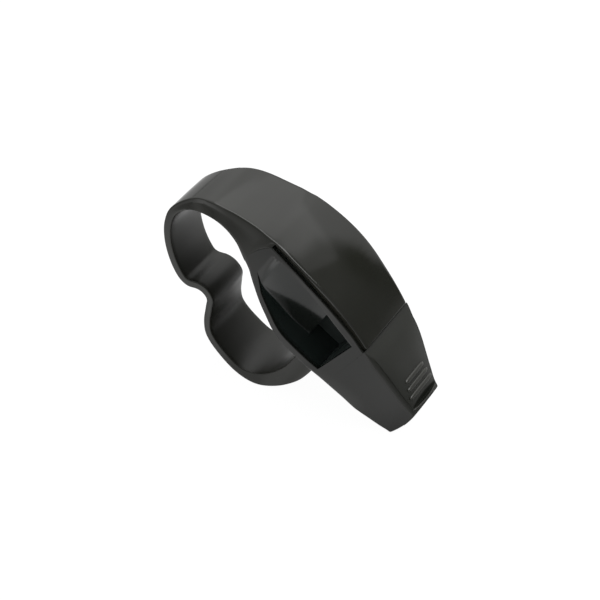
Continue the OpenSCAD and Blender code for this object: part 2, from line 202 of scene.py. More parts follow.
def stand(points):
    """Points of the side view in millimetres, leaned to the row frame and in metres."""
    p = np.asarray(points, float)
    x, z = lean(p[..., 0], p[..., 2], TILT)
    return np.stack([x + SHIFT_X, p[..., 1], z + SHIFT_Z], -1) * MM


def laid_down(point):
    """The place in the side view, in millimetres, of a point of the row frame: the other way from stand."""
    x, y, z = (c / MM for c in point)
    x, z = lean(x - SHIFT_X, z - SHIFT_Z, -TILT)
    return x, y, z


def turned(direction):
    x, z = lean(direction[0], direction[2], TILT)
    return x, direction[1], z


def ring_faces(rings, size):
    """The faces between rings of points, each of which closes on itself."""
    faces = []
    for i in range(rings - 1):
        for j in range(size):
            k = (j + 1) % size
            faces.append((i * size + j, (i + 1) * size + j, (i + 1) * size + k, i * size + k))
    return faces


def set_mark(mesh, name, values):
    """Holds a named number for every point, which the finishes read."""
    flat = np.array(values, np.float32).ravel()
    mesh.attributes.new(name, "FLOAT", "POINT").data.foreach_set("value", flat)


def loft(name, sections, marks=None, inside=False):
    """A closed mesh through half sections that run from the middle below to the middle above, on +Y."""
    half = np.array(sections)
    other = half[:, -2:0:-1] * (1, -1, 1)
    rings = np.concatenate([half, other], 1)
    count, size = rings.shape[:2]
    low, high = (np.array(c) for c in cad_bounds)
    place = stand(rings.reshape(-1, 3))
    if inside:
        place = np.clip(place, low, high)
    faces = ring_faces(count, size)
    for i, flip in ((0, False), (count - 1, True)):
        for j in range(half.shape[1] - 1):
            a, b = i * size + j, i * size + j + 1
            c, d = i * size + (size - j - 1) % size, i * size + (size - j) % size
            face = [v for n, v in enumerate((a, b, c, d)) if v not in (a, b, c, d)[:n]]
            if len(face) > 2:
                faces.append(tuple(reversed(face)) if flip else tuple(face))
    mesh = bpy.data.meshes.new(name)
    mesh.from_pydata([tuple(v) for v in place], [], faces)
    for mark, rows in (marks or {}).items():
        e = np.array(rows)
        set_mark(mesh, mark, np.concatenate([e, e[:, -2:0:-1]], 1))
    tidy(mesh)
    return shown(name, mesh)


def tidy(mesh):
    """Merges the points that fall together and turns every face outwards."""
    bm = bmesh.new()
    bm.from_mesh(mesh)
    bmesh.ops.remove_doubles(bm, verts=bm.verts, dist=2e-6)
    bmesh.ops.dissolve_degenerate(bm, edges=bm.edges, dist=1e-7)
    bmesh.ops.recalc_face_normals(bm, faces=bm.faces)
    if bm.calc_volume(signed=True) < 0:
        bmesh.ops.reverse_faces(bm, faces=bm.faces)
    bm.to_mesh(mesh)
    bm.free()


def shown(name, data):
    piece = bpy.data.objects.new(name, data)
    bpy.context.scene.collection.objects.link(piece)
    return piece


def dress(piece, finish):
    """Gives a piece its one finish."""
    piece.data.materials.clear()
    piece.data.materials.append(finish)


def shade(piece, angle=32):
    """Smooth over the roundings and crisp at the real edges."""
    mesh = piece.data
    mesh.polygons.foreach_set("use_smooth", [True] * len(mesh.polygons))
    bm = bmesh.new()
    bm.from_mesh(mesh)
    for e in bm.edges:
        e.smooth = not (len(e.link_faces) == 2 and e.calc_face_angle(0) > math.radians(angle))
    bm.to_mesh(mesh)
    bm.free()


def plain_mesh(piece):
    """The mesh that a piece's modifiers give."""
    bpy.context.view_layer.update()
    return bpy.data.meshes.new_from_object(piece.evaluated_get(bpy.context.evaluated_depsgraph_get()))


def cut_away(piece, cutter):
    """Takes the cutter's solid out of the piece and removes the cutter."""
    cut = piece.modifiers.new("cut", "BOOLEAN")
    cut.operation = "DIFFERENCE"
    cut.solver = "EXACT"
    cut.object = cutter
    result = plain_mesh(piece)
    piece.modifiers.clear()
    old = piece.data
    piece.data = result
    bpy.data.meshes.remove(old)
    bpy.data.objects.remove(cutter)


# Roundings of the body: the window's rim and nook, the tip's edge, the belly's and the deck's edges
RIM_R, NOOK_R, END_R, UNDER_R, DECK_R = 0.2, 0.15, 0.45, 0.35, 0.2
NOOK_RUN = 1.5  # over which the nook runs out at the ramp's end
RIM_SHARE, NOOK_SHARE = 0.4, 0.5  # of a shallow window's depth
SATIN_SHARE, SATIN_FADE = 0.6, 0.5  # how far satin reaches round an edge, and how it fades
# The mouthpiece's upper edges and where they start, the same at the tip, and the mouth of the breath's tunnel
MOUTH_R, MOUTH_R_RUN, TIP_R, TIP_R_RUN, THROAT_R = 1.7, 5.0, 1.2, 6.0, 1.7
# The mouthpiece's sides are a little full, and its top stands up in the middle and falls to its sides
FULL, FULL_RUN, FULL_END = 0.3, 8.0, 5.0
LIFT, LIFT_START = 0.5, 4.0
FALL, FALL_START, FALL_RUN = 0.7, 0.2, 12.0
# The rim outside the slot rises along the body and dips again where the cover ends
SLOT_RIM_W, SLOT_RIM_STEP = 1.05, 0.06
SLOT_RIM_RISE, SLOT_RIM_FROM, SLOT_RIM_TO = 0.9, 17.0, 32.0
SLOT_RIM_DIP, SLOT_RIM_DIP_FROM = 0.4, 34.0
# The window and the ramps in it
APEX_X, WINDOW_FOOT_X, LABIUM_X = along(0.135), along(0.225), along(0.65)
EDGE_LOW_X, EDGE_HIGH_X = along(0.855), along(0.912)
APEX_RISE, LID_RISE, LID_RUN = 3.0, 0.55, 4.0
RAMP_DRAFT, RAMP_DRAFT_SHARE, RAMP_SOFT_SHARE = 0.13, 0.1, 0.035
LABIUM_HALF = CORE_HALF + WINDWAY_W / 2
SEAT_TOP_X = along(0.08)
CHAMBER_X = REAR_WALL_T + SEAT_TOP_X * 0.8
# The groove behind the end lip, and how it falls and climbs and the lip stands up, as shares of its width
GROOVE_DEPTH, GROOVE_W, GROOVE_L, GROOVE_BACK, GROOVE_END_SHARE = 0.65, 2.2, 0.98 * TIP_W, 1.7, 0.45
GROOVE_FALL_SHARES, GROOVE_CLIMB_SHARES = (0, 0.65), (0.7, 1)
LIP_RISE, LIP_UP_SHARES, LIP_DOWN_SHARES = 0.18, (0.8, 1.1), (1.15, 1.5)
GROOVE_MATT = 0.2  # the depth from which the groove is matt
# Stations of the body: the section's foot and head, its bow, and how many sections follow up to the next
STATIONS = [(0.0, SEAT_TOP_X, -SEAT_BOW, 22), (8.5, 8.5, 0, 46), (30.0, 30.8, 0, 14), (33.85, 36.8, 0, 10),
            (38.2, COVER_L, 0, 14), (46.0, 46.5, 0, 30), (56.0, 56.2, 0.1, 84),
            (TIP_X - TIP_RAKE, TIP_X, TIP_BULGE, 0)]
WINDOW_SPANS, DECK_SPANS = 3, 4  # the stretches with an open window, and those below the cover
END_CLEAR = END_R * 1.15  # room that the last station leaves for the tip's rounded edge
# Painted light: the deep mark lightens the shell's colour in its recesses.
# What is marked as deep: the slot from side to side, and what lies below the skin, less so on the ramps
SLOT_FROM, SLOT_TO, NEAR_DECK = SLOT_RIM_W + 0.02, SLOT_D + 0.5, 0.2
SKIN_FROM, SKIN_TO = 0.4, 0.9
NEAR_RAMP, ABOVE_FLOOR, RAMP_DEEP = 0.2, 0.1, 0.3


def floor_top(x):
    return line_at("belly", x) + FLOOR_T


def window_floor(x):
    """The window's lower edge, which climbs back to its pointed end."""
    share = (x - APEX_X) / (WINDOW_FOOT_X - APEX_X)
    if share < 1:
        return mix(line_at("belly", APEX_X) + APEX_RISE, floor_top(WINDOW_FOOT_X), share)
    return floor_top(x)


def window_roof(x):
    return line_at("deck", x) - DECK_T


def window_lid(x):
    """The upper edge of the window in the body's side, a little above its roof."""
    return window_roof(x) + LID_RISE * smooth(APEX_X, APEX_X + LID_RUN, x)


def ramp_share(x, soft=0.0):
    """How far a ramp has come from the body's side to the sharp edge, where the chamber's mouth is."""
    s = (x - APEX_X) / (LABIUM_X - APEX_X)
    s = min(1.0, (s + math.sqrt(s * s + soft * soft)) / 2)
    return 1 - (1 - s) ** 2


def ramp_half(x, z):
    """Half width of the ramps' faces, which lean back a little where they start."""
    s = min(max((x - APEX_X) / (LABIUM_X - APEX_X), 0.0), 1.0)
    middle = (window_floor(x) + window_roof(x)) / 2
    lean = RAMP_DRAFT * (1 - s) * smooth(0, RAMP_DRAFT_SHARE, s) * (middle - z)
    return mix(line_at("body_half", APEX_X), LABIUM_HALF, ramp_share(x, RAMP_SOFT_SHARE)) + lean


def chamber_half(x):
    if x > LABIUM_X:
        return LABIUM_HALF - LABIUM_T
    return mix(line_at("body_half", APEX_X) - RAMP_T, LABIUM_HALF - LABIUM_T, ramp_share(x))


def body_stations():
    """Foot, head and bow of every section, and the numbers at which the window and the deck end."""
    out = []
    for (*a, count), (*b, _) in zip(STATIONS[:-1], STATIONS[1:]):
        out += [tuple(mix(p, q, k / count) for p, q in zip(a, b)) for k in range(count)]
    counts = [station[3] for station in STATIONS]
    return out + [STATIONS[-1][:3]], sum(counts[:WINDOW_SPANS]), sum(counts[:DECK_SPANS])


def groove(x, y):
    """Depth of the slim trough behind the end lip; the lip itself stands up a little."""
    shallow = max(1 - (2 * y / GROOVE_L) ** 2, 0.0)
    s = (x - (TIP_X - GROOVE_BACK)) / (GROOVE_W * mix(GROOVE_END_SHARE, 1, shallow)) + 0.5
    if s <= 0:
        return 0.0
    climbing = s >= GROOVE_CLIMB_SHARES[0]
    fallen = 1 - smooth(*GROOVE_CLIMB_SHARES, s) if climbing else smooth(*GROOVE_FALL_SHARES, s)
    lip = LIP_RISE * smooth(*LIP_UP_SHARES, s) * (1 - smooth(*LIP_DOWN_SHARES, s))
    return shallow * (GROOVE_DEPTH * fallen - lip)


def mouth_crown(x):
    """How far the mouthpiece's top falls to its sides, and how far its middle stands above its line."""
    fall = mix(FALL_START, FALL, smooth(COVER_L, COVER_L + FALL_RUN, x))
    return fall, (LIFT + fall - FALL_START) * (1 - smooth(COVER_L + LIFT_START, TIP_X, x))


def slot_rim(x):
    """How far the rim outside the slot stands above the deck."""
    rise = SLOT_RIM_RISE * smooth(SLOT_RIM_FROM, SLOT_RIM_TO, x)
    return rise - SLOT_RIM_DIP * smooth(SLOT_RIM_DIP_FROM, COVER_L, x)


def body_section(foot_x, head_x, bow, open_window, top, inset=0.0, back=0.0):
    """Half a section of the body from the middle of the belly, round the side, to the middle of the top.

    It gives the points and, for each, how much it lies on an edge, how satin and how matt it is.
    """
    on_mouth = top == "mouth_top"
    foot_z, head_z = line_at("belly", foot_x), line_at(top, head_x)
    tall = head_z - foot_z
    full = FULL * smooth(COVER_L, COVER_L + FULL_RUN, head_x) * (1 - smooth(TIP_X - FULL_END, TIP_X, head_x))

    def at(h):
        """The section's line at a share of its height."""
        return mix(foot_x, head_x, h) + bow * 4 * h * (1 - h) - back, mix(foot_z, head_z, h)

    def share_of(level):
        """The share of the height at which the section meets a level of the side view."""
        h = 0.5
        for _ in range(6):
            h = (level(at(h)[0]) - foot_z) / tall
        return min(max(h, 0.0), 1.0)

    def half(h):
        return float(line_at("body_half", at(h)[0])) - inset + full

    def wall(h):
        return half(h) if not open_window else min(ramp_half(*at(h)), half(h))

    low, high = inset / tall, 1 - inset / tall
    under_r = UNDER_R - inset / 2
    head_r = mix(DECK_R, MOUTH_R, smooth(COVER_L, COVER_L + MOUTH_R_RUN, head_x)) if on_mouth else DECK_R
    head_r = mix(head_r, TIP_R, smooth(TIP_X - TIP_R_RUN, TIP_X, head_x)) - inset / 2
    fall, lift = mouth_crown(head_x) if on_mouth else (0.0, 0.0)
    under, over, least = under_r / tall, head_r / tall, 0.01
    f = max(share_of(window_floor), low + under + least)
    c = min(share_of(window_lid), high - over - least)
    out, edge = [], []

    def add(y, h, e=0.0):
        out.append((y, h))
        edge.append(e)

    # The belly, its rounded edge and the side below the window
    w = half(low)
    for k in range(6):
        add((w - under_r) * k / 6, low)
    for sin, cos, e in rounding(4):
        add(w - under_r + under_r * sin, low + under * (1 - cos), e)
    w = half(f)
    inward = max(w - ramp_half(*at((f + c) / 2)), 0.0) if open_window else 0.0
    rim = min(RIM_R, inward * RIM_SHARE)
    nook = min(NOOK_R, inward * NOOK_SHARE) * (1 - smooth(LABIUM_X - NOOK_RUN, LABIUM_X, at(f)[0]))
    for k in range(1, 4):
        h = mix(low + under, f - rim / tall, k / 4)
        add(half(h), h)

    # The window: its lower rim and ledge, the ramp's face, its upper ledge and rim
    for sin, cos, e in rounding(3):
        add(w - rim + rim * cos, f - rim / tall * (1 - sin), e)
    for k in range(1, 4):
        add(mix(w - rim, wall(f) + nook, k / 4), f)
    for sin, cos, _ in rounding(3):
        h = f + nook / tall * (1 - cos)
        add(wall(h) + nook * (1 - sin), h)
    high_nook = min(nook, max(half(c) - wall(c), 0.0) * NOOK_SHARE)
    for k in range(1, 20):
        h = mix(f + nook / tall, c - high_nook / tall, k / 20)
        add(wall(h), h)
    for sin, cos, _ in rounding(3, 90, 0):
        h = c - high_nook / tall * (1 - cos)
        add(wall(h) + high_nook * (1 - sin), h)
    w = half(c)
    rim = min(rim, max(w - wall(c), 0.0) * RIM_SHARE)
    for k in range(1, 4):
        add(mix(wall(c) + high_nook, w - rim, k / 4), c)
    for sin, cos, e in rounding(3, 90, 0):
        add(w - rim + rim * cos, c + rim / tall * (1 - sin), e)

    # The side above the window, its rounded edge, the rim outside the slot and the top
    for k in range(1, 4):
        h = mix(c + rim / tall, high - over, k / 4)
        add(half(h), h)
    w = half(high)
    for sin, cos, e in rounding(7):
        add(w - head_r + head_r * cos, high - over + over * sin, e)
    step_y = w - SLOT_RIM_W
    for y in (mix(w - head_r, step_y, 0.5), step_y):
        add(y, high)
    for k in range(29):
        add((step_y - SLOT_RIM_STEP) * (1 - k / 28), high)

    rise = 0.0 if on_mouth else slot_rim(head_x)
    on_top = [h > high - over * SATIN_SHARE for _, h in out]
    points = []
    for y, h in out:
        x, z = at(h)
        if y > step_y - SLOT_RIM_STEP / 2:
            z += rise * smooth(at(c)[1], foot_z + tall * (high - over), z)
        if h > 0.5:
            z -= fall * (y / w) ** 3 - lift + (groove(x, y) if h >= high - 1e-9 else 0.0)
        points.append((x, max(y, 0.0), z))
    past_cover = smooth(COVER_L - SATIN_FADE, COVER_L + SATIN_FADE, head_x)
    satin = [past_cover if upper else 0.0 for upper in on_top]
    in_groove = [groove(at(h)[0], y) if upper else 0.0 for (y, h), upper in zip(out, on_top)]
    matt = [min(1.0, max(depth, 0.0) / GROOVE_MATT) for depth in in_groove]
    return points, edge, satin, matt


def make_body():
    """The mouthpiece, the sides with their windows and ramps, the deck and the belly in one skin."""
    stations, window_end, deck_end = body_stations()
    rows = []

    def put(*args, **more):
        rows.append(body_section(*args, **more))

    for i, station in enumerate(stations[:-1]):
        top = "deck" if i < deck_end else "mouth_top"
        if i == deck_end:
            put(*station, False, "deck")
        if i == window_end:
            put(*station, True, top)
        if station[1] <= TIP_X - END_CLEAR:
            put(*station, i < window_end, top)
    for sin, cos, _ in rounding(5):
        put(*stations[-1], False, "mouth_top", inset=END_R * (1 - cos), back=END_R * (1 - sin))
    sections, edge, satin, matt = zip(*rows)
    body = loft("whistle_body", sections, {"edge": edge, "satin": satin, "matt": matt}, inside=True)
    cut_away(body, make_room())
    tidy(body.data)
    mark_inside(body.data)
    shade(body)
    return body


def mark_inside(mesh):
    """Marks the points below the body's skin, in its windows, chambers and slot, where light is painted in.
    """
    deep = []
    for v in mesh.vertices:
        x, y, z = laid_down(v.co)
        top = "deck" if x < COVER_L else "mouth_top"
        beside = line_at("body_half", x) - abs(y)
        skin = min(z - line_at("belly", x), line_at(top, x) - z, beside)
        at_deck = x < COVER_L and abs(line_at("deck", x) - z) < NEAR_DECK
        in_slot = at_deck and SLOT_FROM < beside < SLOT_TO
        on_ramp = z > window_floor(x) + ABOVE_FLOOR and abs(y) > ramp_half(x, z) - NEAR_RAMP
        below = float(smooth(SKIN_FROM, SKIN_TO, skin))
        deep.append(1.0 if in_slot else below * (RAMP_DEEP if on_ramp else 1.0))
    set_mark(mesh, "deep", deep)


# The room inside: how far it stands clear of the inner pieces, opens the deck, and starts behind the slots
CLEAR, DECK_CUT, STEP_BACK, THROAT_STEP, CUT_PAST = 0.02, 1.0, 0.4, 0.35, 2.0
JUST_PAST, HAIR = 0.001, 0.01  # steps that keep two sections, or two depths, apart
PASSAGE_XS = (30.0, 33.0)  # the plain stretch between the windows and the slots


def make_room():
    """The chambers, the way between the windows and the breath's tunnel, as one solid to take away."""
    sections = []

    def put(foot_x, head_x, half, low, high):
        rows = [(foot_x, half * k / 4, low) for k in range(5)]
        rows += [(mix(foot_x, head_x, k / 8), half, mix(low, high, k / 8)) for k in range(1, 8)]
        rows += [(head_x, half * (1 - k / 4), high) for k in range(5)]
        sections.append(rows)

    def floor(x):
        return floor_top(x) + CLEAR

    def tunnel_roof(x):
        return line_at("mouth_top", x) - DECK_T

    for k in range(31):
        x = mix(CHAMBER_X, LABIUM_X, k / 30)
        put(x, x, chamber_half(x), floor(x), line_at("deck", x) + DECK_CUT)
    for x in (LABIUM_X + JUST_PAST, *PASSAGE_XS):
        put(x, x, LABIUM_HALF + CLEAR, floor(x), window_roof(x) - CLEAR)
    put(EDGE_LOW_X - STEP_BACK, EDGE_HIGH_X - STEP_BACK, LABIUM_HALF + CLEAR, floor(EDGE_LOW_X),
        window_roof(EDGE_HIGH_X) - CLEAR)
    throat_x, start = TIP_X - TIP_RAKE + THROAT_STEP, STEP_BACK - HAIR
    for k in range(30):
        foot_x, head_x = mix(EDGE_LOW_X - start, throat_x, k / 29), mix(EDGE_HIGH_X - start, TIP_X, k / 29)
        half = line_at("body_half", mix(foot_x, head_x, 0.5)) - SIDE_T
        roof = window_roof(min(head_x, COVER_L))
        put(foot_x, head_x, half, floor(foot_x), roof if head_x < COVER_L else min(tunnel_roof(head_x), roof))
    throat_half = line_at("body_half", TIP_X) - SIDE_T
    for sin, cos, _ in list(rounding(6))[1:]:
        grow, on = THROAT_R * (1 - cos), THROAT_R * sin
        put(throat_x + on, TIP_X + on, throat_half + grow, floor(throat_x) - grow, tunnel_roof(TIP_X) + grow)
    put(TIP_X + CUT_PAST, TIP_X + CUT_PAST + 1, TIP_W / 2 - SIDE_T + THROAT_R, floor(TIP_X) - THROAT_R,
        TIP_TOP - DECK_T + THROAT_R)
    return loft("room", sections)


def walk(line, share):
    """The point at a share of a line's length."""
    d = np.concatenate([[0], np.cumsum(np.linalg.norm(np.diff(line, axis=0), axis=1))])
    return np.array([np.interp(share * d[-1], d, line[:, i]) for i in (0, 1)])


# Where the seat runs out under the arm, where the cover's rows thin out, and the rows along the arm
ARM_X, COVER_FINE_X, ARM_ROWS = -2.0, 36.0, 90


def band_lines():
    """Pairs of outer and inner points of the band from the cover's front edge back and round to the foot."""
    cover_x = np.concatenate([np.linspace(COVER_L - FIT, COVER_FINE_X, 16, endpoint=False),
                              np.linspace(COVER_FINE_X, SEAT_TOP_X, 70)])
    outer = [(x, line_at("cover_top", x)) for x in cover_x]
    inner = [(x, line_at("deck", x) + FIT) for x in cover_x]
    cover_rows = len(outer)
    seat = arc((0, SEAT_Z), (SEAT_TOP_X, line_at("deck", SEAT_TOP_X)), SEAT_BOW, 12)[::-1]
    for k in range(1, len(seat)):
        x = mix(SEAT_TOP_X, ARM_X, k / (len(seat) - 1))
        outer.append((x, line_at("cover_top", x)))
        inner.append(tuple(seat[k]))
    arm_end, opening_end = len(ARM_TOP) * CURVE_STEPS, FOLLOWED_FROM * CURVE_STEPS
    over_arm = [(x, line_at("cover_top", x)) for x in np.linspace(ARM_X, along(ARM_TOP[0][0]), 12)]
    arm_outer = np.vstack([over_arm, LINES["loop_outer"][1:arm_end + 1]])
    arm_inner = LINES["opening"][:opening_end + 1]
    for k in range(1, ARM_ROWS + 1):
        outer.append(tuple(walk(arm_outer, k / ARM_ROWS)))
        inner.append(tuple(walk(arm_inner, k / ARM_ROWS)))
    outer += [tuple(p) for p in LINES["loop_outer"][arm_end + 2::2]]
    inner += [tuple(p) for p in LINES["opening"][opening_end + 2::2]]
    return np.array(outer), np.array(inner), cover_rows


# Roundings of the band: the cover's lip, the arm, the loop, its inside and the cover's front
LIP_R, ARM_R, LOOP_R, INNER_R, FRONT_R = 0.4, 0.55, 0.35, 0.3, 0.2
SEATED_R, LIPPED_R, LIP_LOW_R = 0.04, 0.1, 0.12
OUTER_R_SHARE, INNER_R_SHARE, MIDDLE_SHARE = 0.4, 0.3, 0.35
# How full the band is: the cover's crown, the loop's inside, the loop's sides, and the lean of the flanks
COVER_CROWN, CROWN_START, CROWN_LIFT, CROWN_END = 0.65, 0.1, 0.15, 0.5
CROWN_END_FROM, CROWN_END_TO = 22.0, 40.0
INNER_CROWN, INNER_RUN, LOOP_FULL, LOOP_FULL_FROM, LOOP_FULL_TO = 0.5, 4.0, 0.45, -4.0, -14.0
FLANK, FLANK_T = 0.3, 6.0
# The cover's lip over the slot: its nose, and how the cover rises and narrows towards the front
LIP_NOSE, LIP_END = 0.5, 1.6
COVER_RISE, RISE_FROM, RISE_TO = 0.7, 5.0, 30.0
COVER_NARROW, NARROW_FROM, NARROW_TO = 0.85, 14.0, 32.0
UPPER_Z, COVER_FROM, FREE_FROM, FREE_TO, MIDDLE_Z = 12.0, -3.0, -1.0, -3.4, 2.5
INNER_MATT, FLANK_SATIN = 0.25, 0.3  # how dull the loop's inside is, and how satin its flanks


def band_half(x, z):
    """Half width of the arm above the middle line and of the loop below it."""
    arm = line_at("arm_half", x)
    loop = line_at("loop_half", x)
    return mix(loop, arm, smooth(-MIDDLE_Z, MIDDLE_Z, z))


def band_section(outer, inner, lipped, inset=0.0):
    """Half a section of the band from the middle of its inner side, round the flank, to its outer middle.

    It gives the points and, for each, how much it lies on an edge, how satin, how deep and how matt it is.
    """
    outer, inner = np.array(outer, float), np.array(inner, float)
    across = outer - inner
    thick = np.linalg.norm(across)
    up = across / thick
    outer, inner, thick = outer - up * inset, inner + up * inset, thick - 2 * inset
    x, upper = outer[0], outer[1] > UPPER_Z
    on_cover = smooth(COVER_FROM, SEAT_TOP_X, x) if upper else 0.0
    off_lip = 0.0 if lipped else smooth(0, LIP_END, SEAT_TOP_X - x) if upper else 1.0
    free = smooth(FREE_FROM, FREE_TO, inner[0]) if upper else 1.0
    full = LOOP_FULL * (smooth(LOOP_FULL_FROM, LOOP_FULL_TO, x) if upper else 1.0)
    body_half = line_at("body_half", x)
    if lipped:
        wide = body_half - LIP_INSET - COVER_NARROW * smooth(NARROW_FROM, NARROW_TO, x) - inset
        core = inner_half = body_half - SLOT_D
    else:
        wide = core = mix(body_half - LIP_INSET, band_half(x, outer[1]) + full, off_lip) - inset
        inner_half = band_half(inner[0], inner[1]) + full - inset
    outer_r = min(mix(LIP_R, ARM_R if upper else LOOP_R, off_lip), thick * OUTER_R_SHARE)
    inner_r = LIPPED_R if lipped else min(mix(SEATED_R, INNER_R, free), thick * INNER_R_SHARE)
    low_r = LIP_LOW_R if lipped else 0.0
    crown = mix(CROWN_START, COVER_CROWN - CROWN_END * smooth(CROWN_END_FROM, CROWN_END_TO, x), on_cover)
    lift = (crown - CROWN_LIFT) * on_cover + (COVER_RISE * smooth(RISE_FROM, RISE_TO, x) if upper else 0.0)
    from_foot = 1.0 if upper else smooth(0, INNER_RUN, abs(inner[0] - along(FOOT_INNER)))
    bulge = INNER_CROWN * free * from_foot
    lip = mix(LIP_NOSE, mix(outer_r, thick - inner_r, MIDDLE_SHARE), off_lip)
    out, edge = [], []

    def add(y, d, e=0.0):
        """d is the depth below the outer side."""
        out.append((y, d))
        edge.append(e)

    def flank(d):
        """The flanks of the arm lean in towards its outer side."""
        return FLANK * off_lip * min(1.0, thick / FLANK_T) * (1 - d / thick) ** 2

    # The inner side, its rounded edge and the wall up to the lip
    for k in range(8):
        add((inner_half - inner_r) * k / 8, thick)
    for sin, cos, e in rounding(4):
        add(inner_half - inner_r + inner_r * sin, thick - inner_r * (1 - cos), e)
    for k in range(1, 4):
        d = mix(thick - inner_r, lip, k / 4)
        add(mix(inner_half, core, k / 4) - flank(d), d)

    # The lip's lower side and its nose, the outer edge and the outer side
    for k in range(3):
        add(mix(core, wide - low_r, k / 2) - flank(lip), lip)
    for sin, cos, _ in list(rounding(3))[1:]:
        add(wide - low_r + low_r * sin - flank(lip), lip - low_r * (1 - cos))
    for k in range(1, 3):
        d = mix(lip - low_r, outer_r, k / 3)
        add(wide - flank(d), d)
    for sin, cos, e in rounding(6):
        add(wide - flank(outer_r) - outer_r * (1 - cos), outer_r * (1 - sin), e)
    for k in range(1, 17):
        add((wide - flank(outer_r) - outer_r) * (1 - k / 16), 0.0)

    points = []
    for y, d in out:
        depth = min(max(d / thick, 0.0), 1.0)
        bow = (crown * (y / wide) ** 2 - lift) * (1 - depth) + bulge * (1 - (y / wide) ** 2) * depth
        p = outer - up * (d + bow)
        points.append((p[0], max(y, 0.0), p[1]))
    inside = [d > thick - inner_r * SATIN_SHARE for _, d in out]
    flank_satin = FLANK_SATIN * off_lip
    satin = [free if within else flank_satin if d > outer_r else 0.0 for (_, d), within in zip(out, inside)]
    # Painted light: the lip's underside over the slot is marked deep and lightened.
    deep = [1.0 if lipped and d > lip - HAIR else 0.0 for _, d in out]
    matt = [INNER_MATT * free if within else 0.0 for within in inside]
    return points, edge, satin, deep, matt


def make_band():
    """The top cover, the arm, the two-finger loop and its foot in one skin."""
    outer, inner, cover_rows = band_lines()
    rows = []

    def put(*args, **more):
        rows.append(band_section(*args, **more))

    for sin, cos, _ in rounding(3):
        x = COVER_L - FIT - FRONT_R * (1 - cos)
        put((x, line_at("cover_top", x)), (x, line_at("deck", x) + FIT), True,
            inset=FRONT_R * (1 - sin))
    for i, pair in enumerate(zip(outer, inner)):
        if i < cover_rows and pair[0][0] > COVER_L - FIT - FRONT_R - CLEAR:
            continue
        put(*pair, i < cover_rows)
        if i == cover_rows - 1:
            put(*pair, False)
    sections, edge, satin, deep, matt = zip(*rows)
    marks = {"edge": edge, "satin": satin, "deep": deep, "matt": matt}
    band = loft("grip_band_skin", sections, marks, inside=True)
    shade(band)
    return band


# The bite ribs across the mouthpiece, in millimetres; each is longer than the last by its taper
RIB_COUNT, RIB_H, RIB_W, RIB_L, RIB_TAPER = 3, 0.55, 1.45, 13.0, 0.1
RIB_PITCH, RIB_SUNK, RIB_ROW_X, RIB_FULLNESS = 1.95, 0.1, along(1.735), 0.35


class Sock:
    """A node's socket on which Python's operators add Math nodes."""

    def __init__(self, tree, socket):
        self.tree, self.socket = tree, socket

    def other(self, output):
        """Another output of the same node."""
        return Sock(self.tree, self.socket.node.outputs[output])

    def math(self, operation, *others, flip=False):
        n = self.tree.nodes.new("ShaderNodeMath")
        n.operation = operation
        values = [self, *others]
        if flip:
            values.reverse()
        for slot, value in zip(n.inputs, values):
            feed(self.tree, slot, value)
        return Sock(self.tree, n.outputs[0])

    def __add__(self, other):
        return self.math("ADD", other)

    def __mul__(self, other):
        return self.math("MULTIPLY", other)

    def __sub__(self, other):
        return self.math("SUBTRACT", other)

    def __rsub__(self, other):
        return self.math("SUBTRACT", other, flip=True)

    __radd__, __rmul__ = __add__, __mul__


def feed(tree, slot, value):
    """Links a socket to a slot, or gives the slot a plain value."""
    if isinstance(value, Sock):
        tree.links.new(value.socket, slot)
    else:
        slot.default_value = value


class Nodes:
    """A node tree that one method fills."""

    def __init__(self, tree):
        self.tree = tree
        tree.nodes.clear()

    def node(self, kind, settings=(), output=0, **sockets):
        """Adds a node: its settings, then the values or links of its sockets, by name or as i and number."""
        n = self.tree.nodes.new(kind)
        for key, value in dict(settings).items():
            setattr(n, key, value)
        for key, value in sockets.items():
            numbered = key[0] == "i" and key[1:].isdigit()
            feed(self.tree, n.inputs[int(key[1:]) if numbered else key.replace("_", " ")], value)
        return Sock(self.tree, n.outputs[output]) if len(n.outputs) else None

    def mark(self, name):
        """The numbers of that name that a mesh holds for its points."""
        return self.node("ShaderNodeAttribute", {"attribute_name": name}, output="Fac")

    def noise(self, place, scale, detail, roughness):
        return self.node("ShaderNodeTexNoise", Vector=place, Scale=scale, Detail=detail, Roughness=roughness)

    def blend(self, share, first, second):
        """A colour between two, each a socket or red, green and blue."""
        first, second = (c if isinstance(c, Sock) else (*c, 1) for c in (first, second))
        return self.node("ShaderNodeMix", {"data_type": "RGBA"}, output=2, Factor=share, i6=first, i7=second)


class Finish(Nodes):
    """A material and its nodes."""

    def __init__(self, name):
        self.material = bpy.data.materials.new(name)
        self.material.use_nodes = True
        super().__init__(self.material.node_tree)

    def close(self, shader):
        self.node("ShaderNodeOutputMaterial", Surface=shader)
        return self.material


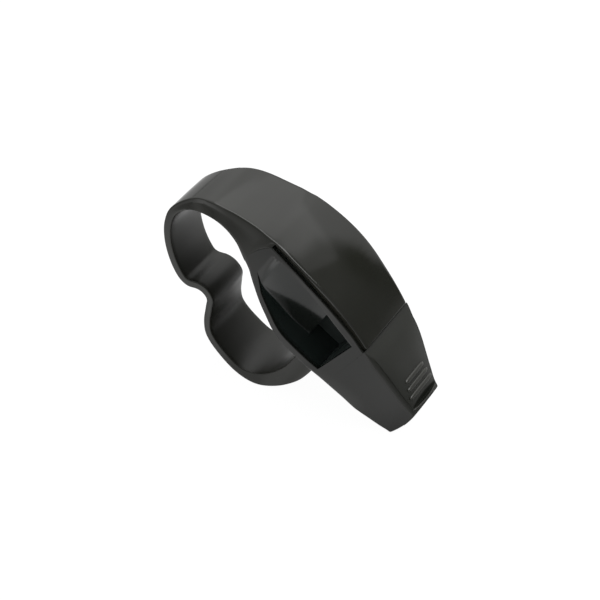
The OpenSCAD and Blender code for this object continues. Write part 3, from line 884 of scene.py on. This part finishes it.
def rib_tree():
    """Geometry nodes that set rounded bars at an even pitch along a line, each longer than the last."""
    tree = bpy.data.node_groups.new("bite rib row", "GeometryNodeTree")
    face = tree.interface
    face.new_socket("Geometry", in_out="INPUT", socket_type="NodeSocketGeometry")
    face.new_socket("Count", in_out="INPUT", socket_type="NodeSocketInt").default_value = RIB_COUNT
    for name, value in (("Rib width", RIB_W * MM), ("Rib height", RIB_H * MM), ("Rib length", RIB_L * MM),
                        ("Taper", RIB_TAPER)):
        face.new_socket(name, in_out="INPUT", socket_type="NodeSocketFloat").default_value = value
    face.new_socket("Finish", in_out="INPUT", socket_type="NodeSocketMaterial")
    face.new_socket("Geometry", in_out="OUTPUT", socket_type="NodeSocketGeometry")
    g = Nodes(tree)
    line = g.node("NodeGroupInput", output="Geometry")
    count = line.other("Count")
    spots = g.node("GeometryNodeCurveToPoints", {"mode": "COUNT"}, output="Points", Curve=line, Count=count)
    from_middle = g.node("GeometryNodeInputIndex") - (count - 1.0) * 0.5
    length = (from_middle * line.other("Taper") + 1.0) * line.other("Rib length")
    tall, wide = line.other("Rib height") * 2.0, line.other("Rib width")
    size = g.node("ShaderNodeCombineXYZ", X=length, Y=tall, Z=wide)
    row = g.node("GeometryNodeInstanceOnPoints", Points=spots, Instance=square_ended_bar(g),
                 Rotation=spots.other("Rotation"), Scale=size)
    real = g.node("GeometryNodeRealizeInstances", Geometry=row)
    finished = g.node("GeometryNodeSetMaterial", Geometry=real, Material=line.other("Finish"))
    g.node("NodeGroupOutput", Geometry=finished)
    return tree


def square_ended_bar(g):
    """A ball drawn out to a bar: its points are pushed towards a rounded box, so that its ends stay full."""
    ball = g.node("GeometryNodeMeshUVSphere", Segments=24, Rings=12, Radius=0.5)
    x = g.node("ShaderNodeSeparateXYZ", output="X", Vector=g.node("GeometryNodeInputPosition"))
    out = x * 2.0
    pushed = out.math("ABSOLUTE").math("POWER", RIB_FULLNESS) * out.math("SIGN")
    place = g.node("ShaderNodeCombineXYZ", X=pushed * 0.5, Y=x.other("Y"), Z=x.other("Z"))
    return g.node("GeometryNodeSetPosition", Geometry=ball, Position=place)


def make_ribs(finish):
    """The bite ribs across the top of the mouthpiece, set out by geometry nodes along its slope."""
    spread = (RIB_COUNT - 1) * RIB_PITCH / 2
    path = bpy.data.curves.new("rib path", "CURVE")
    path.dimensions = "3D"
    spline = path.splines.new("POLY")
    places = stand([(x, 0, line_at("mouth_top", x) + mouth_crown(x)[1] - RIB_SUNK)
                    for x in np.linspace(RIB_ROW_X - spread, RIB_ROW_X + spread, 9)])
    spline.points.add(len(places) - 1)
    for point, place in zip(spline.points, places):
        point.co = (*place, 1)
    row = shown("bite_ribs", path)
    tree = rib_tree()
    change = row.modifiers.new("bite rib row", "NODES")
    change.node_group = tree
    finish_input = next(s.identifier for s in tree.interface.items_tree
                        if s.item_type == "SOCKET" and s.in_out == "INPUT" and s.name == "Finish")
    change[finish_input] = finish
    mesh = plain_mesh(row)
    bpy.data.objects.remove(row)
    mesh.name = "bite_ribs"
    ribs = shown("bite_ribs", mesh)
    tidy(ribs.data)
    shade(ribs, 60)
    return ribs


# Scale, detail and roughness of the plastic's patterns, and how the smears are turned and drawn out
CLOUD, SMEAR, SPECK, SWELL = (55.0, 3.0, 0.55), (120.0, 5.0, 0.6), (2600.0, 2.0, 0.5), (70.0, 1.0, 0.4)
SMEAR_TURN, SMEAR_SCALE = (0.3, -TILT, 0.5), (0.45, 1.6, 1.0)
SPECK_ROUGH, EDGE_ROUGH, WAVE, MATT_SHARE = 0.06, 0.03, 0.02, 0.85


def moulded_black(name, dark, light, rough, spread, grain, satin_rough=0.0, satin_painted_light=None, recess_painted_light=None):
    """Black moulded plastic: a faint cloud in its colour, smears in its gloss, fine grain and slow waves.

    The mesh's own marks make it satin or dull, and where lighter colours are given they paint light into it.
    """
    f = Finish(name)
    place = f.node("ShaderNodeTexCoord", output="Object")
    drawn_out = f.node("ShaderNodeMapping", Vector=place, Rotation=SMEAR_TURN, Scale=SMEAR_SCALE)
    cloud, smear = f.noise(place, *CLOUD), f.noise(drawn_out, *SMEAR)
    speck, swell = f.noise(place, *SPECK), f.noise(place, *SWELL)
    edge, satin = f.mark("edge"), f.mark("satin")
    colour = f.blend(f.node("ShaderNodeMapRange", Value=cloud, From_Min=0.35, From_Max=0.65), dark, light)
    # Painted light: a lighter colour where the mesh is satin, on the mouthpiece's top, for its brighter look.
    if satin_painted_light:
        colour = f.blend(satin, colour, satin_painted_light)
    # Painted light: a lighter, greenish colour where the deep mark lies, in place of light reaching in.
    if recess_painted_light:
        colour = f.blend(f.mark("deep"), colour, recess_painted_light)
    smeared = f.node("ShaderNodeMapRange", Value=smear, From_Min=0.3, From_Max=0.7, To_Min=rough - spread,
                     To_Max=rough + spread)
    gloss = smeared + (speck - 0.5) * SPECK_ROUGH + satin * satin_rough + edge * EDGE_ROUGH
    bump = f.node("ShaderNodeBump", Height=swell * WAVE + speck * grain, Strength=1.0, Distance=MM)
    shiny = f.node("ShaderNodeBsdfPrincipled", Base_Color=colour, Roughness=gloss, Normal=bump, IOR=1.5)
    dull = f.node("ShaderNodeBsdfDiffuse", Color=(*light, 1), Normal=bump)
    return f.close(f.node("ShaderNodeMixShader", i0=f.mark("matt") * MATT_SHARE, i1=shiny, i2=dull))


# What the whistle mirrors. Azimuths are in degrees from +Y towards +X, and elevations are seen from CENTRE.
CENTRE = np.array([0.0, 0.0, 0.027])
FILL = 0.55  # strength of the studio's plain light
LOWEST, HIGHEST = (-92, -91), (91, 92)  # for a field that has no such limit
# Fields that change the studio's tone: each comes and goes over pairs of azimuths, then of elevations, and
# adds its last number. The first list is for the room, the second for the floor.
ROOM_FIELDS = [
    ((-150, -135), (-42, -24), LOWEST, (2, 36), -0.55),
    ((-38, -26), (26, 38), (-3, 6), (20, 36), -0.3),
    ((110, 150), (208, 225), LOWEST, (60, 75), -0.55)]
# Painted shadow and light on the floor, seen only in reflections: darker round the whistle, lighter beyond.
FLOOR_FIELDS = [
    ((170, 182), (196, 206), LOWEST, HIGHEST, 0.2),
    ((212, 225), (240, 250), (-52, -44), HIGHEST, 0.3),
    ((115, 130), (160, 174), LOWEST, (-44, -38), 0.5),
    ((25, 32), (88, 120), (-40, -32), HIGHEST, -0.75),
    ((-20, -12), (60, 90), LOWEST, (-38, -24), -0.9),
    ((-90, -60), (-20, -12), LOWEST, HIGHEST, -0.9),
    ((-90, -60), (-20, -12), (-42, -36), HIGHEST, 1.62)]
HORIZON = (-20, -8)  # elevations over which the floor's tone gives way to the room's


def field(azimuth, elevation, rise, fall, low, high, change):
    """What one field adds to the tone in a direction."""
    middle = (rise[1] + fall[0]) / 2
    a = (azimuth - middle + 180) % 360 + middle - 180
    across = smooth(*rise, a) * (1 - smooth(*fall, a))
    return change * across * smooth(*low, elevation) * (1 - smooth(*high, elevation))


def dark_wall(a, e):
    """The dark wall that the cover's front mirrors. Its edge leans, and it is less dark higher up."""
    edge = 19 + 7 * smooth(30, 13, e) + 5 * smooth(37, 41, e)
    side = max(smooth(edge, edge + 5, a) * smooth(1, 9, e), smooth(38, 46, a)) * (1 - smooth(105, 150, a))
    return (0.82 - 0.12 * smooth(13, 32, e)) * side * (1 - smooth(47, 58, e))


def studio_tone(azimuth, elevation):
    """How bright the studio round the whistle is; 1 is its white surround."""
    room = 1 - dark_wall(azimuth, elevation) + sum(field(azimuth, elevation, *edges) for edges in ROOM_FIELDS)
    ground = 1 + sum(field(azimuth, elevation, *edges) for edges in FLOOR_FIELDS)
    return mix(ground, room, smooth(*HORIZON, elevation))


def direction(azimuth, elevation):
    """A unit vector in the row frame."""
    a, e = math.radians(azimuth), math.radians(elevation)
    return np.array([math.sin(a) * math.cos(e), math.cos(a) * math.cos(e), math.sin(e)])


def polar_mesh(name, places, marks):
    """A grid of rings round the whistle, closed in azimuth, with named numbers for each point."""
    faces = [face[:1] + face[:0:-1] for face in ring_faces(len(places), len(places[0]))]
    mesh = bpy.data.meshes.new(name)
    mesh.from_pydata([tuple(v) for ring in places for v in ring], [], faces)
    for mark, rows in marks.items():
        set_mark(mesh, mark, rows)
    return shown(name, mesh)


def seen_directly(f):
    """1 for a camera, mirror or glass ray, which see the white background."""
    kinds = ("Is Camera Ray", "Is Glossy Ray", "Is Transmission Ray")
    camera, mirror, glass = (f.node("ShaderNodeLightPath", output=kind) for kind in kinds)
    return camera.math("MAXIMUM", mirror).math("MAXIMUM", glass)


AZIMUTHS = range(-180, 180, 2)
FLOOR_RINGS = [0.001] + [0.02 * 1.2 ** k for k in range(28)]  # radii in metres
REAL_SHARE, REAL_TONE = 0.5, 0.94  # share of the floor's real light in near reflections, and its level
PALE, WHITE, PAINTED_SHARE = (0.86, 0.86, 0.86), (1.08, 1.08, 1.08), 0.9
SCRIM_R, SCRIM_LEVELS, SCRIM_TONE = 0.9, range(-3, 90, 3), 0.1


def make_floor():
    """The pale floor: white to the camera, with painted shadow and light in reflections, and a share of the
    real shadow.
    """
    turns = [math.radians(a) for a in AZIMUTHS]
    places = [[(r * math.sin(t), r * math.cos(t), 0.0) for t in turns] for r in FLOOR_RINGS]
    share, painted_floor_light = [], []
    for r in FLOOR_RINGS:
        elevation = -math.degrees(math.atan2(CENTRE[2], r))
        real = REAL_SHARE * (1 - smooth(*HORIZON, elevation))
        tones = [(studio_tone(a, elevation) - real * REAL_TONE) / (1 - real) for a in AZIMUTHS]
        share.append([float(1 - real)] * len(AZIMUTHS))
        painted_floor_light.append([float(max(0.0, tone)) for tone in tones])
    floor = polar_mesh("floor", places, {"share": share, "painted_floor_light": painted_floor_light})
    f = Finish("pale floor")
    plain = f.node("ShaderNodeBsdfDiffuse", Color=(*PALE, 1))
    camera = f.node("ShaderNodeLightPath", output="Is Camera Ray")
    mirror = seen_directly(f) - camera
    tone = f.mark("painted_floor_light")
    grey = f.node("ShaderNodeCombineColor", i0=tone, i1=tone, i2=tone)
    painted = f.node("ShaderNodeEmission", Color=f.blend(camera, grey, WHITE), Strength=1.0)
    painted_share = camera * PAINTED_SHARE + mirror * f.mark("share")
    dress(floor, f.close(f.node("ShaderNodeMixShader", i0=painted_share, i1=plain, i2=painted)))


def make_scrim():
    """A graded scrim out of the picture, which dulls the white surround where the studio was darker."""
    places = [[CENTRE + direction(a, e) * SCRIM_R for a in AZIMUTHS] for e in SCRIM_LEVELS]
    dull = [[float(1 - studio_tone(a, e)) / (1 - SCRIM_TONE) for a in AZIMUTHS] for e in SCRIM_LEVELS]
    scrim = polar_mesh("scrim", places, {"dull": dull})
    f = Finish("grey scrim")
    clear = f.node("ShaderNodeBsdfTransparent")
    grey = f.node("ShaderNodeEmission", Color=(1, 1, 1, 1), Strength=SCRIM_TONE)
    dress(scrim, f.close(f.node("ShaderNodeMixShader", i0=f.mark("dull"), i1=clear, i2=grey)))
    scrim.visible_camera = scrim.visible_diffuse = scrim.visible_shadow = scrim.visible_transmission = False


def make_world():
    """White to every ray that sees it directly, and a plain fill to the rest."""
    world = bpy.data.worlds.new("studio")
    bpy.context.scene.world = world
    world.use_nodes = True
    studio = Nodes(world.node_tree)
    strength = seen_directly(studio) * (1 - FILL) + FILL
    back = studio.node("ShaderNodeBackground", Color=(1, 1, 1, 1), Strength=strength)
    studio.node("ShaderNodeOutputWorld", Surface=back)


def facing(place):
    """The turn of a lamp that looks at the whistle from a place."""
    z = (place - CENTRE) / np.linalg.norm(place - CENTRE)
    x = np.cross((0, 0, 1), z)
    x = x / np.linalg.norm(x)
    m = Matrix(np.column_stack([x, np.cross(z, x), z]).tolist()).to_4x4()
    m.translation = place
    return m


def make_lamp(name, azimuth, elevation, distance, width, depth, radiance):
    """A softbox that faces the whistle; its sizes are in metres."""
    lamp = bpy.data.lights.new(name, "AREA")
    lamp.shape = "RECTANGLE"
    lamp.size, lamp.size_y = width, depth
    lamp.energy = radiance * math.pi * width * depth
    o = shown(name, lamp)
    o.matrix_world = facing(CENTRE + direction(azimuth, elevation) * distance)
    o.visible_camera = False


# The photograph's own view, fitted to the edges that it shows of the outlines above
CAMERA_DOWN, CAMERA_SWING = math.radians(40), math.radians(47.3)
CAMERA_AWAY, CAMERA_AIM_X = 657.6, 18.0  # millimetres in the side view
CAMERA_SENSOR, CAMERA_LENS = 36.0, 144.0


def make_camera():
    down_sin, down_cos = math.sin(CAMERA_DOWN), math.cos(CAMERA_DOWN)
    swing_sin, swing_cos = math.sin(CAMERA_SWING), math.cos(CAMERA_SWING)
    back = np.array([0, -down_cos, down_sin])
    right = np.array([swing_sin, swing_cos * down_sin, swing_cos * down_cos])
    up = np.array([-swing_cos, swing_sin * down_sin, swing_sin * down_cos])
    m = Matrix(np.column_stack([turned(right), turned(up), turned(back)]).tolist()).to_4x4()
    m.translation = stand(back * CAMERA_AWAY + (CAMERA_AIM_X, 0, 0))
    lens = bpy.data.cameras.new("camera")
    lens.sensor_width, lens.lens = CAMERA_SENSOR, CAMERA_LENS
    lens.clip_start = 0.01
    camera = shown("camera", lens)
    camera.matrix_world = m
    bpy.context.scene.camera = camera


make_camera()
make_floor()
make_world()
bpy.context.scene.view_settings.view_transform = "Standard"
make_lamp("overhead softbox", azimuth=0, elevation=72, distance=0.6, width=0.86, depth=0.3, radiance=2.6)
make_lamp("side strip", azimuth=55, elevation=60, distance=0.6, width=0.4, depth=0.13, radiance=2.0)
make_lamp("back softbox", azimuth=-4, elevation=43, distance=0.62, width=0.62, depth=0.16, radiance=0.3)
make_scrim()

# The band's recess colour is painted light under its lip, over the slot.
band_black = moulded_black(
    "band black", dark=(0.0085, 0.009, 0.0058), light=(0.0115, 0.0122, 0.0083), rough=0.1, spread=0.02,
    grain=0.002, satin_rough=0.27, recess_painted_light=(0.024, 0.024, 0.019))
# The shell's satin and recess colours are painted light: lighter on the mouthpiece's top and in recesses.
shell_black = moulded_black(
    "shell black", dark=(0.0065, 0.0072, 0.0055), light=(0.009, 0.0098, 0.0078), rough=0.12, spread=0.03,
    grain=0.001, satin_rough=0.3, satin_painted_light=(0.0125, 0.0135, 0.0098), recess_painted_light=(0.0185, 0.0255, 0.0235))
# A lighter black on the ribs: a painted highlight on their tops.
rib_painted_highlight_black = moulded_black(
    "rib black, painted highlight", dark=(0.026, 0.0265, 0.022), light=(0.031, 0.0315, 0.026), rough=0.3, spread=0.03,
    grain=0.001)
# A much lighter, greenish black on the inner pieces: painted light in place of light reaching inside.
inner_painted_light_black = moulded_black(
    "inner black, painted light", dark=(0.036, 0.047, 0.0435), light=(0.044, 0.056, 0.0525), rough=0.42, spread=0.06,
    grain=0.001)

body = make_body()
dress(body, shell_black)
band = make_band()
dress(band, band_black)
ribs = make_ribs(rib_painted_highlight_black)
for piece, node, slot in [(body, "body_shell", "shell"), (band, "grip_band", "band"),
                          (ribs, "body_shell", "shell")]:
    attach(piece, "root")
    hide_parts(node)
for node in ("chamber_roof", "centre_divider", "windway_core", "left_windway_block", "right_windway_block",
             "left_tuning_plug", "right_tuning_plug"):
    dress(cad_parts[node], inner_painted_light_black)
